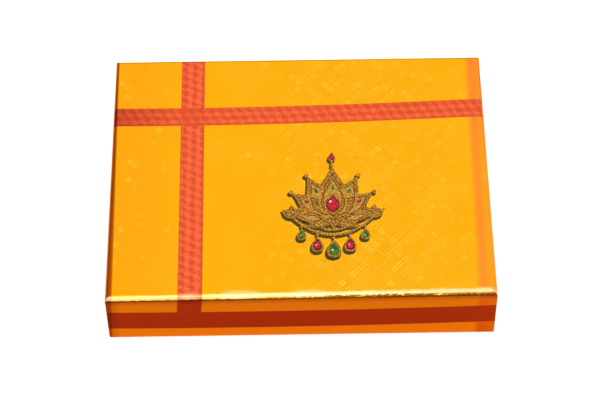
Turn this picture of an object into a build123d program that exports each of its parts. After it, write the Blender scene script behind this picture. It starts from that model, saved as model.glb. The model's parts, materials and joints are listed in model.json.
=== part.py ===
from build123d import *
import os

# Sweet box, 10 by 8 by 1.75 inches with its lid on. Millimetres, +Z up, long side along X.
# The origin is at the middle of the underside. Lid and base are each a scored greyboard
# tray with taped corners, wrapped in foil paper and lined with white paper.

# Box with the lid on
box_width = 254.0
box_depth = 203.2
box_height = 44.45

# Sheets
lid_board_thickness = 2.0
base_board_thickness = 1.8
wrap_thickness = 0.3
lining_thickness = 0.2
stay_thickness = 0.15
bottom_sheet_thickness = 0.25
greaseproof_thickness = 0.12

# Film of glue between two layers
glue_film = 0.05

# Inside radius of the board where its walls fold away from the panel
lid_crease_radius = 1.0
base_crease_radius = 0.8

# Outside radius of the upright corners
corner_radius = 0.6

# Fit of the lid over the base
side_clearance = 0.6
top_clearance = 0.3
lid_rim_height = 0.8

# Paper turned over an edge, measured from that edge
turn_in = 15.0
turn_under = 15.0
lining_setback = 6.0

# Seam of the wrap beside each upright corner, on the short walls
seam_setback = 1.2
seam_width = 0.3
seam_depth = 0.12

# Corner joints of the board
butt_gap = 0.2
stay_width = 14.0
stay_end_margin = 1.0

# Sheet pasted on the underside
bottom_sheet_margin = 4.0

# Loose greaseproof sheet in the tray
greaseproof_clearance = 0.3
greaseproof_wall = 30.0
greaseproof_fold_radius = 1.6
greaseproof_corner_cut = 3.0

# How far a cutting shape runs past what it cuts
overrun = 1.0

# Layers of the lid, as insets from its outside, outermost first
lid_board_outside = wrap_thickness + glue_film
lid_board_inside = lid_board_outside + lid_board_thickness
lid_paper_outside = lid_board_inside + glue_film
lid_lining_inside = lid_paper_outside + lining_thickness
lid_turn_in_inside = lid_paper_outside + wrap_thickness
lid_lap_outside = lid_turn_in_inside + glue_film
lid_lap_inside = lid_lap_outside + lining_thickness
lid_fold_radius = lid_crease_radius + lid_board_inside

# Layers of the base, as insets from its outside, outermost first
base_board_outside = wrap_thickness + glue_film
base_board_inside = base_board_outside + base_board_thickness
base_paper_outside = base_board_inside + glue_film
base_lining_inside = base_paper_outside + lining_thickness
base_turn_in_inside = base_paper_outside + wrap_thickness
base_lap_outside = base_turn_in_inside + glue_film
base_lap_inside = base_lap_outside + lining_thickness
base_fold_radius = base_crease_radius + base_board_inside

# The base, from what the lid leaves free inside
base_width = box_width - 2 * (lid_lap_inside + side_clearance)
base_depth = box_depth - 2 * (lid_lap_inside + side_clearance)
base_top = box_height - lid_lining_inside - top_clearance
base_underside = bottom_sheet_thickness + glue_film

# Heights of the two board rims and of the paper edges inside
lid_board_rim = lid_rim_height + lid_board_outside
lid_turn_in_top = lid_rim_height + turn_in
lid_lining_foot = lid_rim_height + lining_setback
base_board_rim = base_top - base_board_outside
base_turn_in_foot = base_top - turn_in
base_lining_head = base_top - lining_setback


def folded_block(width, depth, low, high, fold_radius, upright_radius, fold_side):
    """Block whose edges round one end face are rounded as folded board is.

    Three crossing profiles meet in it, so the two folds of a corner end in a mitre and the
    upright edge runs sharp into it. fold_side picks the end: -1 is the top, 0 the bottom.
    """
    middle = (low + high) / 2
    with BuildPart() as block:
        with BuildSketch(Plane.XZ) as across:
            with Locations((0, middle)):
                Rectangle(width, high - low)
            if fold_radius > 0:
                fillet(across.vertices().group_by(Axis.Y)[fold_side], fold_radius)
        extrude(amount=depth / 2, both=True)
        with BuildSketch(Plane.YZ) as along:
            with Locations((0, middle)):
                Rectangle(depth, high - low)
            if fold_radius > 0:
                fillet(along.vertices().group_by(Axis.Y)[fold_side], fold_radius)
        extrude(amount=width / 2, both=True, mode=Mode.INTERSECT)
        if upright_radius > 0:
            with BuildSketch(Plane.XY.offset(low)):
                RectangleRounded(width, depth, upright_radius)
            extrude(amount=high - low, mode=Mode.INTERSECT)
    return block.part


def lid_core(inset, foot, head=None):
    """What lies inside one layer of the lid, down to the height foot."""
    head = box_height - inset if head is None else head
    return folded_block(
        box_width - 2 * inset,
        box_depth - 2 * inset,
        foot,
        head,
        lid_fold_radius - inset,
        corner_radius - inset,
        -1,
    )


def base_core(inset, head, foot=None):
    """What lies inside one layer of the base, up to the height head."""
    foot = base_underside + inset if foot is None else foot
    return folded_block(
        base_width - 2 * inset,
        base_depth - 2 * inset,
        foot,
        head,
        base_fold_radius - inset,
        corner_radius - inset,
        0,
    )


def upright_block(width, depth, low, high):
    """Plain block between two heights, about the middle of the box."""
    with BuildPart() as block:
        with BuildSketch(Plane.XY.offset(low)):
            Rectangle(width, depth)
        extrude(amount=high - low)
    return block.part


def corner_strips(width, depth, strip_width, strip_depth):
    """Flat outline of four L-shaped strips inside the corners of a rectangle."""
    with BuildSketch() as strips:
        with GridLocations(width - strip_width, depth - strip_width, 2, 2):
            Rectangle(strip_width, strip_width)
        Rectangle(width - 2 * strip_depth, depth - 2 * strip_depth, mode=Mode.SUBTRACT)
    return strips.sketch


def rim_ring(width, depth, thickness, low, high):
    """Upright ring of paper inside a rim, its outside width by depth."""
    with BuildPart() as ring:
        with BuildSketch(Plane.XY.offset(low)):
            Rectangle(width, depth)
            Rectangle(width - 2 * thickness, depth - 2 * thickness, mode=Mode.SUBTRACT)
        extrude(amount=high - low)
    return ring.part


def seam_grooves(width, depth, low, high):
    """Shallow upright grooves where the short walls' paper ends beside each corner."""
    with BuildPart() as grooves:
        with BuildSketch(Plane.XY.offset(low)):
            with GridLocations(width, depth - 2 * seam_setback, 2, 2):
                Rectangle(2 * seam_depth, seam_width)
        extrude(amount=high - low)
    return grooves.part


def butt_slits(width, depth, board_thickness, low, high):
    """Slits where the board's short walls stop against its long ones."""
    with BuildPart() as slits:
        with BuildSketch(Plane.XY.offset(low)):
            reach = board_thickness + overrun
            between = depth - 2 * board_thickness - butt_gap
            with GridLocations(width - 2 * board_thickness + reach, between, 2, 2):
                Rectangle(reach, butt_gap)
        extrude(amount=high - low)
    return slits.part


def corner_tapes(width, depth, tape_thickness, end_play, low, high):
    """Four strips round the upright corners, or with end play the rebates they lie in."""
    with BuildPart() as tapes:
        with BuildSketch(Plane.XY.offset(low - end_play)):
            add(corner_strips(width, depth, stay_width + end_play, tape_thickness + end_play))
        extrude(amount=high - low + 2 * end_play)
    return tapes.part


def save(piece, name):
    """Labels a finished piece and writes it out."""
    piece.label = name
    export_step(piece, f"parts/{name}.step")


os.makedirs("parts", exist_ok=True)

# Lid board: panel and four walls from one scored blank, butted at the corners
lid_board_width = box_width - 2 * lid_board_outside
lid_board_depth = box_depth - 2 * lid_board_outside
lid_fold_foot = box_height - lid_fold_radius
lid_stay_low = lid_board_rim + stay_end_margin
lid_stay_high = lid_fold_foot - stay_end_margin

with BuildPart() as lid_board:
    add(lid_core(lid_board_outside, lid_board_rim))
    add(lid_core(lid_board_inside, lid_board_rim - overrun), mode=Mode.SUBTRACT)
    add(
        butt_slits(
            lid_board_width,
            lid_board_depth,
            lid_board_thickness,
            lid_board_rim - overrun,
            lid_fold_foot,
        ),
        mode=Mode.SUBTRACT,
    )
    add(
        corner_tapes(
            lid_board_width,
            lid_board_depth,
            stay_thickness,
            glue_film,
            lid_stay_low,
            lid_stay_high,
        ),
        mode=Mode.SUBTRACT,
    )
save(lid_board.part, "lid_board")

# Lid corner stays: paper tape pressed into the board over each upright corner
with BuildPart() as lid_corner_stays:
    add(
        corner_tapes(
            lid_board_width,
            lid_board_depth,
            stay_thickness,
            0,
            lid_stay_low,
            lid_stay_high,
        )
    )
    add(lid_core(lid_board_outside, lid_board_rim), mode=Mode.INTERSECT)
save(lid_corner_stays.part, "lid_corner_stays")

# Lid wrap: printed foil paper over the board, turned in round the rim
with BuildPart() as lid_wrap:
    add(lid_core(0, lid_rim_height))
    add(lid_core(wrap_thickness, lid_rim_height + wrap_thickness), mode=Mode.SUBTRACT)
    add(
        upright_block(
            box_width - 2 * lid_turn_in_inside,
            box_depth - 2 * lid_turn_in_inside,
            lid_rim_height - overrun,
            lid_board_rim,
        ),
        mode=Mode.SUBTRACT,
    )
    add(
        rim_ring(
            box_width - 2 * lid_paper_outside,
            box_depth - 2 * lid_paper_outside,
            wrap_thickness,
            lid_rim_height,
            lid_turn_in_top,
        )
    )
    add(
        seam_grooves(box_width, box_depth, lid_rim_height - overrun, lid_fold_foot),
        mode=Mode.SUBTRACT,
    )
save(lid_wrap.part, "lid_wrap")

# Lid lining: white paper inside, lapped over the turned-in foil
with BuildPart() as lid_lining:
    add(lid_core(lid_paper_outside, lid_turn_in_top + glue_film))
    add(
        upright_block(
            box_width - 2 * lid_lap_outside,
            box_depth - 2 * lid_lap_outside,
            lid_lining_foot,
            lid_turn_in_top + glue_film + lining_thickness,
        )
    )
    add(
        lid_core(lid_lining_inside, lid_turn_in_top + glue_film + lining_thickness),
        mode=Mode.SUBTRACT,
    )
    add(
        upright_block(
            box_width - 2 * lid_lap_inside,
            box_depth - 2 * lid_lap_inside,
            lid_lining_foot - overrun,
            lid_turn_in_top + glue_film + lining_thickness,
        ),
        mode=Mode.SUBTRACT,
    )
save(lid_lining.part, "lid_lining")

# Base board: the same scored and butted tray, open at the top
base_board_width = base_width - 2 * base_board_outside
base_board_depth = base_depth - 2 * base_board_outside
base_fold_head = base_underside + base_fold_radius
base_stay_low = base_fold_head + stay_end_margin
base_stay_high = base_board_rim - stay_end_margin

with BuildPart() as base_board:
    add(base_core(base_board_outside, base_board_rim))
    add(base_core(base_board_inside, base_board_rim + overrun), mode=Mode.SUBTRACT)
    add(
        butt_slits(
            base_board_width,
            base_board_depth,
            base_board_thickness,
            base_fold_head,
            base_board_rim + overrun,
        ),
        mode=Mode.SUBTRACT,
    )
    add(
        corner_tapes(
            base_board_width,
            base_board_depth,
            stay_thickness,
            glue_film,
            base_stay_low,
            base_stay_high,
        ),
        mode=Mode.SUBTRACT,
    )
save(base_board.part, "base_board")

# Base corner stays
with BuildPart() as base_corner_stays:
    add(
        corner_tapes(
            base_board_width,
            base_board_depth,
            stay_thickness,
            0,
            base_stay_low,
            base_stay_high,
        )
    )
    add(base_core(base_board_outside, base_board_rim), mode=Mode.INTERSECT)
save(base_corner_stays.part, "base_corner_stays")

# Base wrap: a strip round the walls, turned in over the rim and under the floor
with BuildPart() as base_wrap:
    add(base_core(0, base_top))
    add(base_core(wrap_thickness, base_top - wrap_thickness), mode=Mode.SUBTRACT)
    add(
        upright_block(
            base_width - 2 * turn_under,
            base_depth - 2 * turn_under,
            base_underside - overrun,
            base_underside + base_board_inside,
        ),
        mode=Mode.SUBTRACT,
    )
    add(
        upright_block(
            base_width - 2 * base_turn_in_inside,
            base_depth - 2 * base_turn_in_inside,
            base_board_rim,
            base_top + overrun,
        ),
        mode=Mode.SUBTRACT,
    )
    add(
        rim_ring(
            base_width - 2 * base_paper_outside,
            base_depth - 2 * base_paper_outside,
            wrap_thickness,
            base_turn_in_foot,
            base_top,
        )
    )
    add(
        seam_grooves(base_width, base_depth, base_fold_head, base_top + overrun),
        mode=Mode.SUBTRACT,
    )
save(base_wrap.part, "base_wrap")

# Base lining: white paper over the floor and walls, lapped over the turned-in foil
with BuildPart() as base_lining:
    add(base_core(base_paper_outside, base_turn_in_foot - glue_film))
    add(
        upright_block(
            base_width - 2 * base_lap_outside,
            base_depth - 2 * base_lap_outside,
            base_turn_in_foot - glue_film - lining_thickness,
            base_lining_head,
        )
    )
    add(
        base_core(base_lining_inside, base_turn_in_foot - glue_film - lining_thickness),
        mode=Mode.SUBTRACT,
    )
    add(
        upright_block(
            base_width - 2 * base_lap_inside,
            base_depth - 2 * base_lap_inside,
            base_turn_in_foot - glue_film - lining_thickness,
            base_lining_head + overrun,
        ),
        mode=Mode.SUBTRACT,
    )
save(base_lining.part, "base_lining")

# Base bottom sheet: card pasted over the turned-under foil, what the box stands on
with BuildPart() as base_bottom_sheet:
    add(
        upright_block(
            base_width - 2 * bottom_sheet_margin,
            base_depth - 2 * bottom_sheet_margin,
            0,
            bottom_sheet_thickness,
        )
    )
save(base_bottom_sheet.part, "base_bottom_sheet")

# Greaseproof liner: a loose sheet with its corners cut out, folded up inside the tray
liner_width = base_width - 2 * (base_lap_inside + greaseproof_clearance)
liner_depth = base_depth - 2 * (base_lap_inside + greaseproof_clearance)
liner_floor = base_underside + base_lining_inside + greaseproof_clearance
liner_head = liner_floor + greaseproof_wall
liner_inside_radius = greaseproof_fold_radius - greaseproof_thickness

with BuildPart() as greaseproof_liner:
    add(
        folded_block(
            liner_width,
            liner_depth,
            liner_floor,
            liner_head,
            greaseproof_fold_radius,
            0,
            0,
        )
    )
    add(
        folded_block(
            liner_width - 2 * greaseproof_thickness,
            liner_depth - 2 * greaseproof_thickness,
            liner_floor + greaseproof_thickness,
            liner_head + overrun,
            liner_inside_radius,
            0,
            0,
        ),
        mode=Mode.SUBTRACT,
    )
    with BuildSketch(Plane.XY.offset(liner_floor - overrun)):
        with GridLocations(liner_width, liner_depth, 2, 2):
            Rectangle(2 * greaseproof_corner_cut, 2 * greaseproof_corner_cut)
    extrude(amount=liner_head - liner_floor + 2 * overrun, mode=Mode.SUBTRACT)
save(greaseproof_liner.part, "greaseproof_liner")
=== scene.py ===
"""Looks of a foil-wrapped sweet box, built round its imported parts. Metres, +Z up."""

import json
import logging
import math
from collections.abc import Callable
from dataclasses import dataclass, field
from enum import Enum
from typing import Any

import bmesh
import bpy
from mathutils import Matrix, Vector, noise

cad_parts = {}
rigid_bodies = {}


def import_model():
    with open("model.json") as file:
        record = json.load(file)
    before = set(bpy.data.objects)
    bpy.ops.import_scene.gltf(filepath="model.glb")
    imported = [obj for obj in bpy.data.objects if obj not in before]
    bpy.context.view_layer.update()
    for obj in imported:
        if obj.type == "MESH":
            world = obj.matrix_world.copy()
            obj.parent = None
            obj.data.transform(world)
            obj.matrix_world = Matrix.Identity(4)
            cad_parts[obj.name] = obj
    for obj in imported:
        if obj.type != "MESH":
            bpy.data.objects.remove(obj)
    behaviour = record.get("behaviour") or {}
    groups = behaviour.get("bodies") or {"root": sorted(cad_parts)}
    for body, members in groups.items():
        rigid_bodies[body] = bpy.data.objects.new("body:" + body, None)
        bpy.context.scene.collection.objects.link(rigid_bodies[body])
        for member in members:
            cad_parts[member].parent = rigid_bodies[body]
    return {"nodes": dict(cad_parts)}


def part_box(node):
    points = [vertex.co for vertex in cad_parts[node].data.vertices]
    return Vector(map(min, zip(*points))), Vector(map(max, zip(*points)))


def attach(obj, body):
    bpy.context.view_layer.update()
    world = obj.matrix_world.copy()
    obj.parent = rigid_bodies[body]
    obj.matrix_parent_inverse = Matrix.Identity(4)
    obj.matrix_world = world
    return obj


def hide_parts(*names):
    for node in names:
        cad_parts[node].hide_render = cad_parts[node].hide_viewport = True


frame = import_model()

LOG = logging.getLogger("sweet_box")
MM = 0.001
NET = "net"
SLACK = "slack"
FOLD_ENDS = (-125.0, 125.0)
EASED = {"interpolation_type": "SMOOTHSTEP"}
COLOURS = {"out": 2, "data_type": "RGBA"}
DARKENED = {"blend_type": "MULTIPLY"}
Material = bpy.types.Material
Piece = bpy.types.Object
Socket = bpy.types.NodeSocket
Span = tuple[float, ...]


def linear(colour: str) -> tuple[float, float, float, float]:
    """Turns an sRGB hex colour into the linear colour that a shader takes.

    Args:
        colour: Six hex digits after a hash sign.

    Returns:
        Linear red, green, blue and an alpha of one.
    """
    shares = [int(colour[i : i + 2], 16) / 255 for i in (1, 3, 5)]
    red, green, blue = (s / 12.92 if s <= 0.04045 else ((s + 0.055) / 1.055) ** 2.4 for s in shares)
    return red, green, blue, 1.0


def smooth(value: float, low: float, high: float) -> float:
    """Rises smoothly from 0 at low to 1 at high.

    Args:
        value: What is measured.
        low: Where the rise starts.
        high: Where it ends.

    Returns:
        A share from 0 to 1.
    """
    t = min(max((value - low) / (high - low), 0.0), 1.0)
    return t * t * (3 - 2 * t)


class Graph:
    """The node tree of one material, with one way of adding to it."""

    def __init__(
        self,
        name: str = "",
        tree: bpy.types.NodeTree | None = None,
        output: str = "ShaderNodeOutputMaterial",
    ) -> None:
        """Starts a material, or takes a given tree, with nothing but its output.

        Args:
            name: The real finish's name, for a new material.
            tree: The tree to fill in place of a new material's.
            output: Blender's name for the output node.
        """
        self.material = None if tree else bpy.data.materials.new(name)
        if self.material:
            self.material.use_nodes = True
        self.tree = tree or self.material.node_tree
        self.tree.nodes.clear()
        self.end = self.tree.nodes.new(output)

    def add(
        self,
        kind: str,
        inputs: dict[int | str, Any] | tuple[Any, ...] = (),
        operation: str = "",
        out: int | str = 0,
        **settings: Any,
    ) -> Socket:
        """Adds one node.

        Args:
            kind: Blender's name for the node, without ShaderNode.
            inputs: Value, hex colour or socket for each input, by name or number, or for the
                first ones in order. A MapRange takes a value, two ends it comes from and two it
                goes to.
            operation: What a Math or VectorMath node does.
            out: The output to hand back.
            **settings: The node's other settings.

        Returns:
            The output socket asked for.
        """
        made = self.tree.nodes.new(f"ShaderNode{kind}")
        if operation:
            made.operation = operation
        for name, value in settings.items():
            setattr(made, name, value)
        for name, value in inputs.items() if isinstance(inputs, dict) else enumerate(inputs):
            if isinstance(value, Socket):
                self.tree.links.new(value, made.inputs[name])
            else:
                made.inputs[name].default_value = linear(value) if isinstance(value, str) else value
        return made.outputs[out]

    def object_mm(self) -> Socket:
        """Places a point by object coordinates, in millimetres."""
        return self.add("VectorMath", (self.add("TexCoord", out="Object"), (1 / MM,) * 3), "MULTIPLY")

    def strip(self, along: Socket, centre: float, half: float, soft: float) -> Socket:
        """Masks a straight stripe of print.

        Args:
            along: The coordinate across the stripe, in millimetres.
            centre: The stripe's middle on that coordinate.
            half: Half its width.
            soft: Width of its soft edge.

        Returns:
            1 inside the stripe and 0 outside.
        """
        off = self.add("Math", (along, centre), "SUBTRACT")
        away = self.add("Math", (off,), "ABSOLUTE")
        return self.add("MapRange", (away, half + soft / 2, half - soft / 2), **EASED)

    def coat(
        self, colour: Any, height: Socket, strength: float, depth: float, looks: dict[str, Any]
    ) -> Material | None:
        """Ends a material with one surface and its relief.

        Args:
            colour: Its colour, hex or socket.
            height: Its relief.
            strength: How much of the relief shows.
            depth: How deep the relief is, in millimetres.
            looks: The surface's other inputs.

        Returns:
            The material.
        """
        bump = self.add("Bump", {"Height": height, "Strength": strength, "Distance": depth * MM})
        looks = {"Base Color": colour, "Normal": bump, **looks}
        return self.finish(self.add("BsdfPrincipled", looks))

    def finish(self, surface: Socket) -> Material | None:
        """Joins the surface shader to the output and hands the material back."""
        self.tree.links.new(surface, self.end.inputs["Surface"])
        return self.material


@dataclass(frozen=True)
class PrintLayout:
    """Where the print lies on the lid's flat sheet, in millimetres from the panel's middle."""

    ribbon_x: float = -72.36
    ribbon_y: float = 52.15
    ribbon_half: float = 8.0
    ribbon_skew: float = 0.0039
    ribbon_slant: float = 0.09
    cross_skew: float = 0.0152
    cross_bow: float = 1.8
    cross_middle: float = -12.0
    cross_reach: float = 120.0
    band_low: float = 10.8
    band_high: float = 29.3
    bend_middle: float = 25.0
    bend_reach: float = 140.0
    bend: Span = (2.3, -0.72)
    stripe_x: float = 119.4
    stripe_half: float = 2.7
    stripe_skew: float = 0.012
    stripe_before: float = 5.5
    edge_x: float = 125.6
    # Where the painted shade on the left fold lies, in millimetres on the sheet.
    left_shade_x: float = -123.65
    left_shade_end: float = -98.0
    left_shade_width: float = 5.6
    left_shade_skew: float = 0.0112
    left_shade_slant: float = 0.05
    left_shade_past: float = 3.5
    blob_along: float = 6.7
    blob_across: float = 6.2
    long_phase: float = 1.1
    cross_phase: float = -1.2
    print_soft: float = 0.5
    fold_tightens: Span = (0.35, 1.75)
    fold_band: Span = (0.1, 0.6)


@dataclass(frozen=True)
class FoilSurface:
    """How metallised film on paper takes the light, and the pressed pattern in it."""

    metallic: float = 0.97
    roughness: float = 0.17
    film: float = 0.03
    film_roughness: float = 0.06
    edge_tint: str = "#FFE7AA"
    cell: float = 5.4
    stroke: float = 2.05
    leaning_left: float = 0.15
    tones: Span = (-0.5, 0.55)
    cell_edge: Span = (0.42, 0.3)
    second_seed: Span = (7.3, 3.1, 0.0)
    scatter: float = 1.1

    def pressed_pattern(self, g: Graph, sheet: Socket, quiet: Any) -> Socket:
        """Short diagonal strokes in scattered cells of a diamond lattice.

        The eye reads them as a hologram's glitter: hatched patches that catch the light.

        Args:
            g: The material they are for.
            sheet: Coordinates on the sheet, in millimetres.
            quiet: Share of cells that stay plain, a value or a socket.

        Returns:
            A wave inside the cells that show, about a tone of each cell's own, and 0 elsewhere.
        """
        turned = g.add("Mapping", {"Vector": sheet, "Rotation": (0.0, 0.0, math.radians(45))})
        cells = g.add("VectorMath", (turned, (1 / self.cell,) * 3), "MULTIPLY")
        number = g.add("VectorMath", (cells,), "FLOOR")
        inside = g.add("VectorMath", (cells,), "FRACTION")
        shifted = g.add("VectorMath", (number, self.second_seed), "ADD")
        flat = {"out": "Value", "noise_dimensions": "2D"}
        chance, choice = (g.add("TexWhiteNoise", {"Vector": seed}, **flat) for seed in (number, shifted))
        leaning = g.add("Math", (choice, self.leaning_left), "GREATER_THAN")
        across, upward = (g.add("SeparateXYZ", (turned,), out=axis) for axis in "XY")
        line = g.add("Mix", {0: leaning, 2: upward, 3: across})
        phase = g.add("Math", (line, 2 * math.pi / self.stroke), "MULTIPLY")
        wave = g.add("Math", (phase,), "SINE")
        tone = g.add("MapRange", (choice, 0.0, 1.0, *self.tones))
        wave = g.add("Math", (wave, tone), "ADD")
        spread = g.add("VectorMath", (inside, (0.5, 0.5, 0.0)), "SUBTRACT")
        spread = g.add("VectorMath", (spread,), "ABSOLUTE")
        aside, ahead = (g.add("SeparateXYZ", (spread,), out=axis) for axis in "XY")
        spread = g.add("Math", (aside, ahead), "MAXIMUM")
        window = g.add("MapRange", (spread, *self.cell_edge), **EASED)
        shown = g.add("Math", (chance, self.scatter), "POWER")
        shown = g.add("MapRange", (shown, quiet))
        for share in (window, wave):
            shown = g.add("Math", (shown, share), "MULTIPLY")
        return shown

    def looks(self) -> dict[str, Any]:
        """Gives the surface's inputs: tinted metal under a thin clear film."""
        film = {"Coat Weight": self.film, "Coat Roughness": self.film_roughness}
        metal = {"Metallic": self.metallic, "Roughness": self.roughness}
        return {**metal, "Specular Tint": self.edge_tint, **film}


@dataclass
class PrintedSheet:
    """Where a point of the lid's printed sheet is: sockets and sizes, all in millimetres."""

    lay: PrintLayout
    lid: "LidWrap"
    name: str = "printed metallised foil paper"

    def __post_init__(self) -> None:
        """Starts the material and works out the sockets that the inks are laid by."""
        self.g = g = Graph(self.name)
        lay, lid = self.lay, self.lid
        self.fold = fold = lid.fold_radius / MM
        self.wall_foot = lid.top / MM - (2 * fold - math.pi / 2 * fold)
        half_w, half_d = lid.half_width / MM, lid.half_depth / MM
        self.sheet = g.add("UVMap", uv_map=NET)
        self.u, self.v = u, v = [g.add("SeparateXYZ", (self.sheet,), out=axis) for axis in "XY"]
        band_v = g.add("Math", (u, -lay.cross_skew, v), "MULTIPLY_ADD")
        apart = g.add("Math", (u, -lay.cross_middle), "ADD")
        apart = g.add("Math", (apart,), "ABSOLUTE")
        apart = g.add("MapRange", (apart, 0.0, lay.cross_reach))
        apart = g.add("Math", (apart, 2.0), "POWER")
        bowed = g.add("Math", (1.0, apart), "SUBTRACT")
        self.ribbon_v = g.add("Math", (bowed, lay.cross_bow, band_v), "MULTIPLY_ADD")
        over = []
        for place, half in ((u, half_w), (v, half_d), (band_v, half_d)):
            far = g.add("Math", (place,), "ABSOLUTE")
            over.append(g.add("Math", (far, half), "SUBTRACT"))
        over_u, over_v, over_band = over
        self.over = g.add("Math", (over_u, over_v), "MAXIMUM")
        bend = g.add("Math", (u, 1 / lay.bend_reach, -lay.bend_middle / lay.bend_reach), "MULTIPLY_ADD")
        bend = g.add("Math", (bend, bend), "MULTIPLY")
        bend = g.add("Math", (bend, *lay.bend), "MULTIPLY_ADD")
        over_band = g.add("Math", (over_band, bend), "ADD")
        self.skewed_over = g.add("Math", (over_u, over_band), "MAXIMUM")
        along = g.add("Math", (over_v, over_u), "GREATER_THAN")
        front = g.add("Math", (v, 0.0), "LESS_THAN")
        self.front = g.add("Math", (front, along), "MULTIPLY")
        down = g.add("Math", (self.over, 0.0), "MAXIMUM")
        self.down = g.add("Math", (down, self.front), "MULTIPLY")
        ribbon_u = g.add("Math", (v, lay.ribbon_skew, u), "MULTIPLY_ADD")
        self.ribbon_u = g.add("Math", (self.down, lay.ribbon_slant, ribbon_u), "MULTIPLY_ADD")
        tighter = g.add("MapRange", (u, *FOLD_ENDS, *lay.fold_tightens))
        self.turned = g.add("Math", (tighter, self.front, self.over), "MULTIPLY_ADD")
        starts, ends = (fold * share for share in lay.fold_band)
        self.on_wall = g.add("MapRange", (self.turned, starts, ends), **EASED)


@dataclass
class PrintedFoilPaper(PrintedSheet):
    """Gold metallised film on paper, gravure printed and gloss laminated.

    A mirror-like gold under transparent inks: even and saturated where it faces the light,
    dark where it faces nothing. Painted highlights lie along the front fold and on the
    pressed pattern; painted shade lies on the walls, on the left fold and under the front fold.
    """

    panel: str = "#FFB20C"
    # Panel colour to the left, painted shade.
    panel_shade: str = "#FFAA0E"
    panel_light: str = "#FFB618"
    # Colours of the painted highlights and painted shade on the pressed pattern.
    glint: str = "#FFE14E"
    glint_shade: str = "#E89A08"
    # Walls: a darker, deeper orange than the panel, painted shade, lighter towards the foot.
    wall_high: str = "#D36700"
    wall_low: str = "#EC7A00"
    stripe: str = "#FF882C"
    # The stripe's darker copy on the walls, painted shade.
    wall_stripe: str = "#D05200"
    # Red of the painted reflection along the right fold's rounding.
    edge: str = "#E4601C"
    # Multiply colour of the painted shade on the left fold.
    left_fold_shade: str = "#B47A98"
    ribbon_light: str = "#FF6E46"
    ribbon_dark: str = "#E25228"
    # Multiply colour of the painted shade that darkens the ribbons towards the left.
    ribbon_left_shade: str = "#D8C4C4"
    # Ribbon and band on the walls: the ribbon ink's darker copy, painted shade.
    wall_ribbon: str = "#9E2000"
    # Near-white colour of the painted highlight along the front fold.
    painted_fold_highlight: str = "#FFF0B0"
    # Pale yellow of the painted highlight in lobes before the front fold.
    lobe_highlight: str = "#FFF29A"
    # Dark multiply colour of the painted shade under the front fold and of the line at its foot.
    crease_shade: str = "#6E3400"
    # Dark colour of the painted shade in pockets on the lower front fold.
    pocket_shade: str = "#9A5C00"
    quiet_grows: Span = (-85.0, -60.0, 0.8, 0.98)
    quiet_ends: Span = (-27.0, 3.0)
    quiet_right: float = 0.04
    # Where the painted glints on the pressed pattern are strongest, by the front fold's right half.
    flare_at: Span = (48.0, -92.0, 0.0)
    flare_grows: Span = (72.0, 6.0, 0.52, 0.8)
    flare_fades: Span = (60.0, 112.0, 1.0, 0.55)
    crumple_grows: Span = (-45.0, 40.0, 0.5, 26.0)
    fold_highlight_grows: Span = (-60.0, 20.0, 0.42, 0.7)
    lobe_highlight_shows: Span = (0.2, 0.65, 0.0, 0.55)
    pocket_shows: Span = (0.43, 0.52)
    pocket_grows: Span = (40.0, 120.0, 0.0, 0.12)
    left_shade_fade: float = 0.38
    ribbon_darkens: Span = (-80.0, -127.0)
    panel_darkens: Span = (-60.0, -120.0)
    press: float = 0.05
    press_share: float = 0.25
    pattern_height: float = 0.35
    cloud_shows: Span = (0.45, 0.7)
    stripe_reddens: Span = (-10.0, 60.0)
    stripe_share: float = 0.6
    jag: Span = (2.0, -1.0)
    jag_sinks: Span = (0.2, 1.3)
    ribbon_keeps: Span = (-0.7, 1.0)
    pocket_starts: Span = (-15.0, 35.0)
    pocket_share: float = 0.9
    shade_under: Span = (0.0, 0.55)
    crease_fades: Span = (1.0, 0.68)
    blob_wobble: Span = (6.5, 1.5)
    blob_lean: float = 0.45
    blob_shows: Span = (0.1, 3.3)
    blob_thins: float = 1.6
    selvedge: float = 0.7

    def material(self, foil: FoilSurface) -> Material:
        """Builds the finish on the sheet's own net coordinates.

        Args:
            foil: How the film takes the light.

        Returns:
            The material.
        """
        g = self.g
        quiet = g.add("MapRange", (self.u, *self.quiet_grows))
        quiet = g.add("MapRange", (self.u, *self.quiet_ends, quiet, self.quiet_right))
        pressed = foil.pressed_pattern(g, self.sheet, quiet)
        clear = g.add("Math", (1.0, self.on_wall), "SUBTRACT")
        pressed = g.add("Math", (pressed, clear), "MULTIPLY")
        colour = self.glitter(pressed, self.ground())
        for print_over in (self.stripes, self.ribbons, self.paint_left_fold_shade, self.paint_fold_light_and_shade):
            colour = print_over(colour)
        return g.coat(colour, self.relief(pressed), self.press_share, self.press, foil.looks())

    def glitter(self, pressed: Socket, colour: Socket) -> Socket:
        """Paints highlights and shade onto the pressed pattern, most in a painted flare by the front
        fold.

        Args:
            pressed: The pattern's wave.
            colour: The ground.

        Returns:
            The ground with the pattern.
        """
        g = self.g
        flare = g.add("VectorMath", (self.sheet, self.flare_at), "DISTANCE", out="Value")
        flare = g.add("MapRange", (flare, *self.flare_grows), **EASED)
        rightmost = g.add("MapRange", (self.u, *self.flare_fades))
        flare = g.add("Math", (flare, rightmost), "MULTIPLY")
        # Painted highlight and painted shade on the pattern's strokes; the relief itself is a real bump.
        for side, ink in ((1.0, self.glint), (-1.0, self.glint_shade)):
            share = g.add("Math", (pressed, side), "MULTIPLY")
            share = g.add("Math", (share, flare), "MULTIPLY", use_clamp=True)
            colour = g.add("Mix", {0: share, 6: colour, 7: ink}, **COLOURS)
        return colour

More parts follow.
